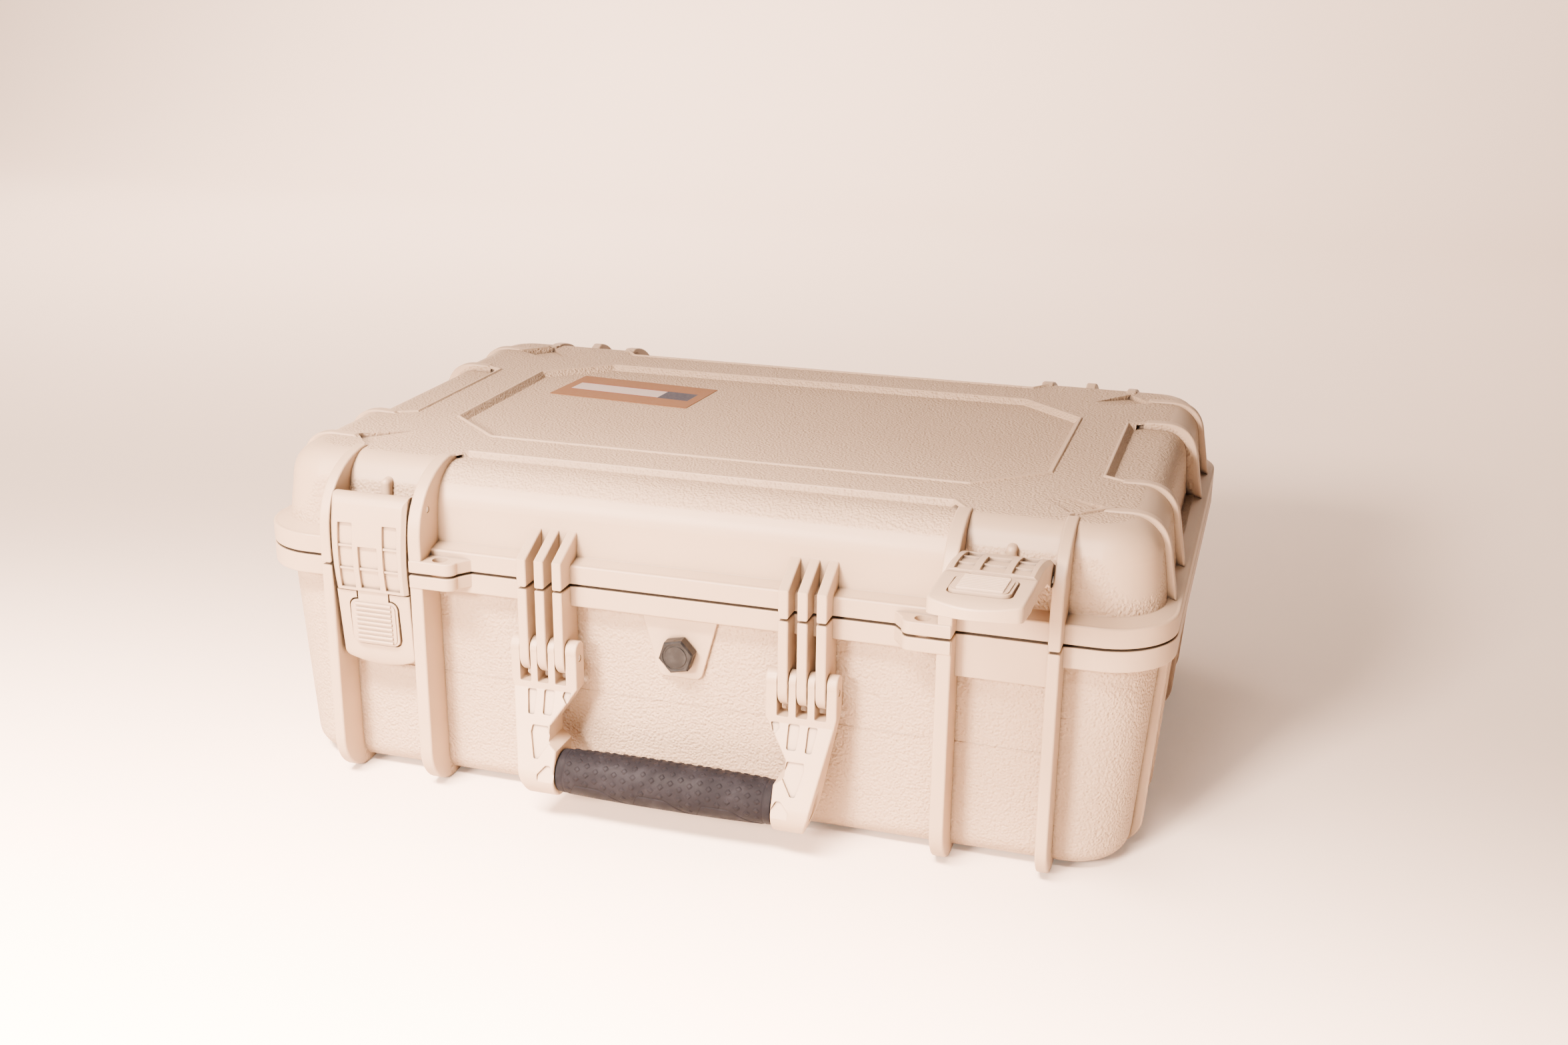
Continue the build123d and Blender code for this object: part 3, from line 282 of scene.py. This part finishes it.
# ---- other finishes -----------------------------------------------------
def rubber(name, colour, pale, grime=0.5):
    """Worn dark rubber with pale scuffs and dust, and painted shade in its grooves."""
    n = Nodes(name)
    wear = n.ramp(n.noise(70, 6, 0.7, distort=0.8), 0.45, 0.75)
    tint = n.mix(n.math("MULTIPLY", wear, grime), colour, pale)
    dust = n.ramp(n.noise(520, 3, 0.7), 0.72, 0.80)
    tint = n.mix(n.math("MULTIPLY", dust, 0.22), tint, (0.20, 0.19, 0.19, 1))
    # painted shade: near black in the grooves round the diamonds and scallops
    painted_groove_shade = n.math("MULTIPLY", n.occlusion_shade(1.6 * MM, 0.45, 0.95), 0.85)
    tint = n.mix(painted_groove_shade, tint, (0.002, 0.002, 0.002, 1))
    n.link(tint, n.shader.inputs["Base Color"])
    n.link(n.ramp(n.noise(90, 4), 0.3, 0.7, 0.50, 0.68), n.shader.inputs["Roughness"])
    n.shader.inputs["Specular IOR Level"].default_value = 0.05
    edges = n.soft_edges(0.2 * MM)
    n.link(n.bump(n.noise(1400, 3, 0.6), 0.06 * MM, 0.6, edges), n.shader.inputs["Normal"])
    return n.material


def black_plastic(name):
    """Black glass-filled nylon, slightly mottled."""
    n = Nodes(name)
    mottle = n.ramp(n.noise(240, 5, 0.6), 0.4, 0.75)
    tint = n.mix(mottle, (0.007, 0.007, 0.0075, 1), (0.018, 0.0175, 0.018, 1))
    n.link(tint, n.shader.inputs["Base Color"])
    n.link(n.ramp(n.noise(300, 4), 0.3, 0.7, 0.30, 0.46), n.shader.inputs["Roughness"])
    n.shader.inputs["Specular IOR Level"].default_value = 0.15
    edges = n.soft_edges(0.5 * MM)
    n.link(n.bump(n.noise(1100, 2), 0.04 * MM, 0.5, edges), n.shader.inputs["Normal"])
    return n.material


def pin_steel(name):
    """Turned stainless pin: fine rings along its length and a little tarnish."""
    n = Nodes(name)
    stretched = n.new("ShaderNodeMapping")
    n.link(n.place, stretched.inputs["Vector"])
    stretched.inputs["Scale"].default_value = (6, 1, 1)
    lines = n.noise(900, 3, 0.6, stretched.outputs[0])
    n.link(n.mix(lines, (0.46, 0.44, 0.41, 1), (0.66, 0.64, 0.61, 1)), n.shader.inputs["Base Color"])
    n.shader.inputs["Metallic"].default_value = 1.0
    n.link(n.ramp(lines, 0.3, 0.7, 0.25, 0.42), n.shader.inputs["Roughness"])
    n.link(n.bump(lines, 0.02 * MM), n.shader.inputs["Normal"])
    return n.material


def vent_membrane(name):
    """White woven vent film."""
    n = Nodes(name)
    weave = n.cells(2600)
    n.link(n.mix(weave, (0.78, 0.77, 0.74, 1), (0.62, 0.61, 0.58, 1)), n.shader.inputs["Base Color"])
    n.shader.inputs["Roughness"].default_value = 0.8
    n.link(n.bump(weave, 0.05 * MM), n.shader.inputs["Normal"])
    return n.material


LABEL_AT = (-114.8 * MM, 44.8 * MM)
LABEL_TURN = math.radians(-4.4)
BAND_HALF = (45.0 * MM, 8.5 * MM)  # half the cream band's length and width
BAND_LINE = 1.0 * MM  # width of the red lines
BLOCK_FROM = 22.0 * MM  # where the blue-grey block begins along the band


def printed_label(name):
    """Kraft-brown sticker with a cream band between thin red lines and a plain blue-grey block."""
    n = Nodes(name)
    local = n.new("ShaderNodeMapping", vector_type="TEXTURE")
    local.inputs["Location"].default_value = (*LABEL_AT, 0)
    local.inputs["Rotation"].default_value = (0, 0, LABEL_TURN)
    n.link(n.place, local.inputs["Vector"])
    split = n.new("ShaderNodeSeparateXYZ")
    n.link(local.outputs[0], split.inputs[0])
    x, y = split.outputs[0], split.outputs[1]

    def between(value, low, high):
        soft = 0.12 * MM
        rise = n.ramp(value, low - soft, low + soft)
        fall = n.ramp(value, high - soft, high + soft, 1.0, 0.0)
        return n.math("MULTIPLY", rise, fall)

    fibres = n.noise(420, 6, 0.75, distort=0.6)
    colour = n.mix(fibres, (0.19, 0.085, 0.038, 1), (0.28, 0.135, 0.068, 1))
    half_x, half_y = BAND_HALF
    along_band = between(x, -half_x, half_x)
    with_lines = between(y, -half_y - BAND_LINE, half_y + BAND_LINE)
    red = n.math("MULTIPLY", along_band, with_lines)
    colour = n.mix(red, colour, (0.25, 0.028, 0.022, 1))
    cream = n.math("MULTIPLY", along_band, between(y, -half_y, half_y))
    colour = n.mix(cream, colour, (0.50, 0.42, 0.39, 1))
    thread = n.math("MULTIPLY", along_band, between(y, -0.5 * MM, 0.5 * MM))
    colour = n.mix(n.math("MULTIPLY", thread, 0.5), colour, (0.45, 0.40, 0.45, 1))
    block = n.math("MULTIPLY", between(x, BLOCK_FROM, half_x), with_lines)
    colour = n.mix(block, colour, (0.045, 0.050, 0.075, 1))
    n.link(colour, n.shader.inputs["Base Color"])
    n.link(n.ramp(fibres, 0.3, 0.7, 0.50, 0.65), n.shader.inputs["Roughness"])
    n.shader.inputs["Specular IOR Level"].default_value = 0.1
    n.link(n.bump(fibres, 0.03 * MM), n.shader.inputs["Normal"])
    return n.material


shell_base = moulded_plastic("tan_base_shell", base_grain)
shell_lid = moulded_plastic("tan_lid_shell", lid_grain)
smooth_tan = moulded_plastic("tan_smooth")
grip_rubber = rubber("grip_rubber", (0.009, 0.0085, 0.0105, 1), (0.024, 0.023, 0.028, 1))
seal_rubber = rubber("seal_rubber", (0.018, 0.018, 0.019, 1), (0.040, 0.040, 0.040, 1), 0.3)
valve_black = black_plastic("valve_black")
steel = pin_steel("pin_steel")

FINISH = {
    "base_shell": shell_base,
    "lid_shell": shell_lid,
    "handle_frame": smooth_tan,
    "handle_grip": grip_rubber,
    "lid_gasket": seal_rubber,
    "valve_seal": seal_rubber,
    "valve_body": valve_black,
    "valve_nut": valve_black,
    "valve_membrane": vent_membrane("vent_membrane"),
    "label_sticker": printed_label("printed_label"),
}
for side in ("left", "right"):
    FINISH["latch_body_" + side] = smooth_tan
    FINISH["latch_lever_" + side] = smooth_tan
    for part in ("hinge_pin_", "handle_pin_", "latch_pin_", "lever_pin_", "lever_spring_"):
        FINISH[part + side] = steel

for name, obj in nodes.items():
    obj.data.materials.clear()
    obj.data.materials.append(FINISH[name])


# ---- handle grip --------------------------------------------------------
GRIP_HALF = 66.9 * MM  # half its length
GRIP_R = 14.6 * MM
GRIP_BORE = 7.6 * MM  # radius round the handle's core bar
GRIP_AXIS = (-198.5 * MM, 31.0 * MM)  # y and z
DIAMOND_PITCH = 11.7 * MM  # along the grip, within one row
DIAMOND_ROW = 2.95 * MM  # from one row to the next round the grip
DIAMOND_HALF = 1.75 * MM  # half a diagonal
DIAMOND_RISE = 0.45 * MM
END_BAND = 5.2 * MM  # plain band at each end
SCALLOP_START = GRIP_HALF - END_BAND - 2 * MM  # x where the outermost scallop begins
SCALLOPS = 3


def step(value, low, high):
    """0 below low, 1 above high and smooth between."""
    t = min(1.0, max(0.0, (value - low) / (high - low)))
    return t * t * (3 - 2 * t)


def scallop_edge(x):
    """Height round the grip, in metres of arc below its front line, of the scalloped line at x."""
    length = 2 * SCALLOP_START / SCALLOPS
    along = ((x + SCALLOP_START) / length) % 1.0
    rise = step(along, 0.0, 0.16)
    fall = 1 - step(along, 0.50, 1.0)
    return (-13.0 + 10.5 * min(rise, fall)) * MM


def ridge(distance, width):
    """1 on a line and falling smoothly to 0 away from it."""
    return math.exp(-((distance / width) ** 2))


def diamond_height(x, arc):
    """The rows of small diamonds, each other row shifted by half a pitch."""
    height = 0.0
    nearest = round(arc / DIAMOND_ROW)
    for row in (nearest - 1, nearest, nearest + 1):
        shift = 0.5 * DIAMOND_PITCH * (row % 2)
        u = (x - shift) / DIAMOND_PITCH
        from_centre = (u - round(u)) * DIAMOND_PITCH
        centre_x = x - from_centre
        centre_arc = row * DIAMOND_ROW
        in_length = GRIP_HALF - abs(centre_x) > END_BAND + 3.0 * MM
        above_scallop = centre_arc > scallop_edge(centre_x) + 2.4 * MM
        if in_length and above_scallop:
            size = abs(from_centre) + abs(arc - centre_arc)
            height += DIAMOND_RISE * (1 - step(size, DIAMOND_HALF - 0.25 * MM, DIAMOND_HALF + 0.25 * MM))
            height -= 0.14 * MM * ridge(size - DIAMOND_HALF - 0.45 * MM, 0.30 * MM)
    return height


def grip_height(x, arc):
    """How far the rubber stands above the plain grip.

    arc is metres round from the front line, up is plus.
    """
    end_gap = GRIP_HALF - abs(x)
    edge = scallop_edge(x)
    inside = step(end_gap, END_BAND + 1.0 * MM, END_BAND + 2.0 * MM)
    height = -0.35 * MM * ridge(end_gap - END_BAND, 0.45 * MM)
    height -= 0.32 * MM * ridge(arc - edge, 0.40 * MM) * inside
    height += 0.18 * MM * step(edge - arc, 0.0, 0.8 * MM) * inside
    return height + diamond_height(x, arc)


def make_grip():
    """The overmoulded grip: a barrel with rows of small diamonds, end bands and a scalloped edge."""
    around, lengthways = 260, 340
    mesh = bmesh.new()
    angles = [2 * math.pi * j / around for j in range(around)]

    def ring(x, radii):
        """A closed row of points round the grip at x."""
        y, z = GRIP_AXIS
        points = [(x, y - r * math.cos(a), z + r * math.sin(a)) for a, r in zip(angles, radii)]
        return [mesh.verts.new(point) for point in points]

    def front_arc(angle):
        """Distance round from the front line, the same above and below at the back."""
        arc = (angle if angle <= 1.5 * math.pi else angle - 2 * math.pi) * GRIP_R
        return arc if arc <= math.pi * 0.5 * GRIP_R else math.pi * GRIP_R - arc

    def skin(first, second):
        """Faces between two rows."""
        for j in range(around):
            k = (j + 1) % around
            mesh.faces.new((first[j], second[j], second[k], first[k]))

    rings = []
    for i in range(lengthways + 1):
        x = -GRIP_HALF + 2 * GRIP_HALF * i / lengthways
        crown = GRIP_R - 0.5 * MM - 1.3 * MM * abs(x / GRIP_HALF) ** 2.6
        end_round = 0.9 * MM * (1 - step(GRIP_HALF - abs(x), 0.0, 1.1 * MM)) ** 2
        rings.append(ring(x, [crown - end_round + grip_height(x, front_arc(a)) for a in angles]))
    bore = [ring(x, [GRIP_BORE] * around) for x in (GRIP_HALF, -GRIP_HALF)]
    loops = rings + bore
    for first, second in zip(loops, loops[1:] + loops[:1]):
        skin(first, second)
    bmesh.ops.recalc_face_normals(mesh, faces=mesh.faces)
    made = mesh_object("grip_skin", mesh, grip_rubber)
    made.data.set_sharp_from_angle(angle=math.radians(60))
    return made


grip = make_grip()
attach(grip, "handle")
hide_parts("handle_grip")


# ---- studio -------------------------------------------------------------
def studio_paper():
    """Warm matt paper with a faint glow, as paper lit from outside the set has."""
    n = Nodes("studio_paper")
    tone = n.mix(n.noise(2.0, 3), (0.82, 0.69, 0.58, 1), (0.86, 0.73, 0.62, 1))
    n.link(tone, n.shader.inputs["Base Color"])
    n.shader.inputs["Roughness"].default_value = 0.75
    n.shader.inputs["Specular IOR Level"].default_value = 0.15
    n.link(n.bump(n.noise(30, 4), 0.6 * MM, 0.15), n.shader.inputs["Normal"])
    n.shader.inputs["Emission Color"].default_value = (1.0, 0.76, 0.60, 1)
    n.shader.inputs["Emission Strength"].default_value = 0.3
    return n.material


def make_sweep():
    """Seamless paper: a floor that curves up into a backdrop."""
    near, bend_at, radius, height, half = -9.0, 2.2, 1.2, 4.2, 12.0
    floor_z = -0.3 * MM
    steps = 24
    profile = [(near, floor_z)]
    for i in range(steps + 1):
        a = 0.5 * math.pi * i / steps
        profile.append((bend_at + radius * math.sin(a), floor_z + radius * (1 - math.cos(a))))
    profile.append((bend_at + radius, height))
    mesh = bmesh.new()
    rows = [[mesh.verts.new((x, y, z)) for y, z in profile] for x in (-half, half)]
    for i in range(len(profile) - 1):
        mesh.faces.new((rows[0][i], rows[1][i], rows[1][i + 1], rows[0][i + 1]))
    sweep = mesh_object("studio_sweep", mesh, studio_paper())


def softbox(name, at, aim, size, watts, colour, spread=180):
    """A rectangular lamp aimed at a point, its beam spread in degrees."""
    data = bpy.data.lights.new(name, "AREA")
    data.shape = "RECTANGLE"
    data.size, data.size_y = size
    data.energy = watts
    data.color = colour
    data.spread = math.radians(spread)
    lamp = bpy.data.objects.new(name, data)
    lamp.location = at
    lamp.rotation_euler = (Vector(aim) - Vector(at)).to_track_quat("-Z", "Y").to_euler()
    bpy.context.scene.collection.objects.link(lamp)


def make_flag(at, size):
    """Black card beside the case, out of view, that keeps stray light off its right end."""
    n = Nodes("black_card")
    tone = n.mix(n.noise(60, 3), (0.012, 0.011, 0.011, 1), (0.020, 0.018, 0.018, 1))
    n.link(tone, n.shader.inputs["Base Color"])
    n.shader.inputs["Roughness"].default_value = 0.9
    x, y, z = at
    half_y, half_z = size[0] / 2, size[1] / 2
    mesh = bmesh.new()
    corners = [(-half_y, -half_z), (half_y, -half_z), (half_y, half_z), (-half_y, half_z)]
    mesh.faces.new([mesh.verts.new((x, y + dy, z + dz)) for dy, dz in corners])
    flag = mesh_object("black_flag", mesh, n.material, smooth=False)
    flag.visible_camera = False


make_sweep()
CASE_MIDDLE = (0, 0, 0.1)
WARM = (1.0, 0.77, 0.64)
softbox("key_front_left", (-1.05, -3.0, 1.45), CASE_MIDDLE, (0.7, 0.55), 500, WARM)
softbox("floor_wash", (-0.15, -1.2, 1.5), (-0.05, -0.93, 0), (1.3, 0.4), 180, WARM, 60)
softbox("overhead", (-0.9, 0.5, 2.4), CASE_MIDDLE, (1.6, 1.6), 27, WARM)
softbox("backdrop_wash", (-1.4, 1.3, 2.1), (-1.1, 2.6, 0.05), (1.8, 0.9), 135, WARM, 130)
make_flag((1.12, 0.2, 0.75), (3.6, 1.6))

world = bpy.data.worlds.new("studio_air")
world.use_nodes = True
air = world.node_tree.nodes["Background"]
air.inputs["Color"].default_value = (1.0, 0.79, 0.67, 1)
air.inputs["Strength"].default_value = 0.04
bpy.context.scene.world = world
